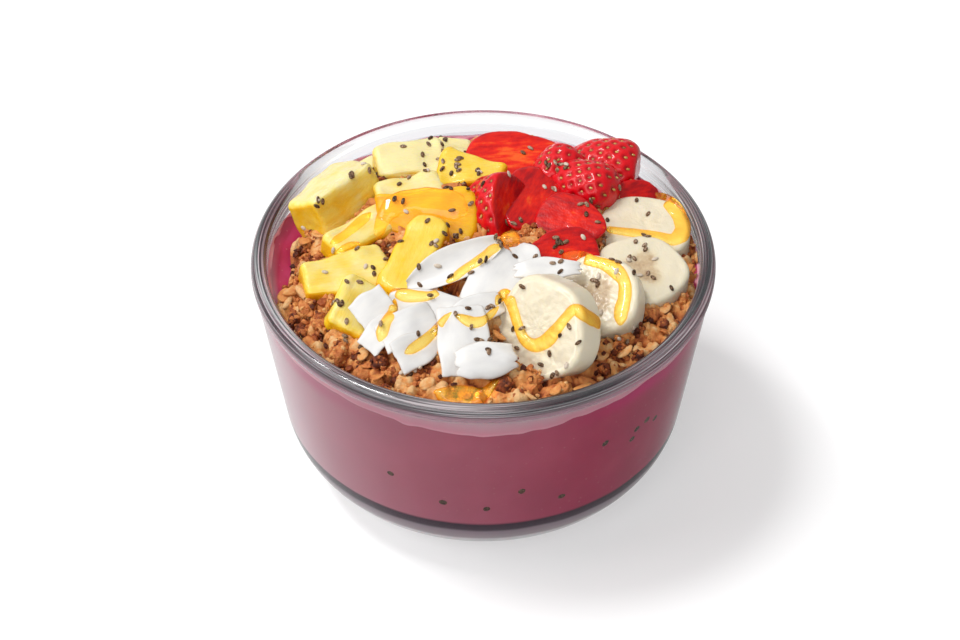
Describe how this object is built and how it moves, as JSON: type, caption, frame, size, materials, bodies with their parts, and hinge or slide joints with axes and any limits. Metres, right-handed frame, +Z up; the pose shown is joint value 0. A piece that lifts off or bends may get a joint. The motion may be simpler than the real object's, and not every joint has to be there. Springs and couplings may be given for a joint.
{
  "type": "dragon fruit smoothie bowl",
  "caption": "Round straight-rimmed glass bowl full of magenta fruit puree, topped with granola, pineapple chunks, cut strawberries, banana slices and coconut flakes.",
  "frame": {"origin": "middle of the bowl's base, on the table", "axes": "+Z up through the middle of the rim, -Y towards the side with the coconut flakes and the leaning banana slice"},
  "size_m": [0.15, 0.15, 0.1041],
  "materials": {
    "glass": "clear polished glass",
    "puree": "soft satin, moist, magenta",
    "granola": "dry and rough, toasted brown",
    "pineapple": "wet, juicy yellow",
    "strawberry": "wet, glossy red",
    "banana": "smooth, moist cream",
    "coconut": "satin white"
  },
  "bodies": {
    "root": {"coconut_01": "coconut", "coconut_02": "coconut", "coconut_03": "coconut", "coconut_04": "coconut", "coconut_05": "coconut", "coconut_06": "coconut", "coconut_07": "coconut", "coconut_08": "coconut", "coconut_09": "coconut", "coconut_10": "coconut", "coconut_11": "coconut", "coconut_12": "coconut", "banana_01": "banana", "banana_02": "banana", "banana_03": "banana", "banana_04": "banana", "strawberry_01": "strawberry", "strawberry_02": "strawberry", "strawberry_03": "strawberry", "strawberry_04": "strawberry", "strawberry_05": "strawberry", "strawberry_06": "strawberry", "strawberry_07": "strawberry", "strawberry_08": "strawberry", "strawberry_09": "strawberry", "strawberry_10": "strawberry", "pineapple_01": "pineapple", "pineapple_02": "pineapple", "pineapple_03": "pineapple", "pineapple_04": "pineapple", "pineapple_05": "pineapple", "pineapple_06": "pineapple", "pineapple_07": "pineapple", "pineapple_08": "pineapple", "pineapple_09": "pineapple", "pineapple_10": "pineapple", "pineapple_11": "pineapple", "granola": "granola", "puree": "puree", "glass_bowl": "glass"}
  },
  "joints": []
}
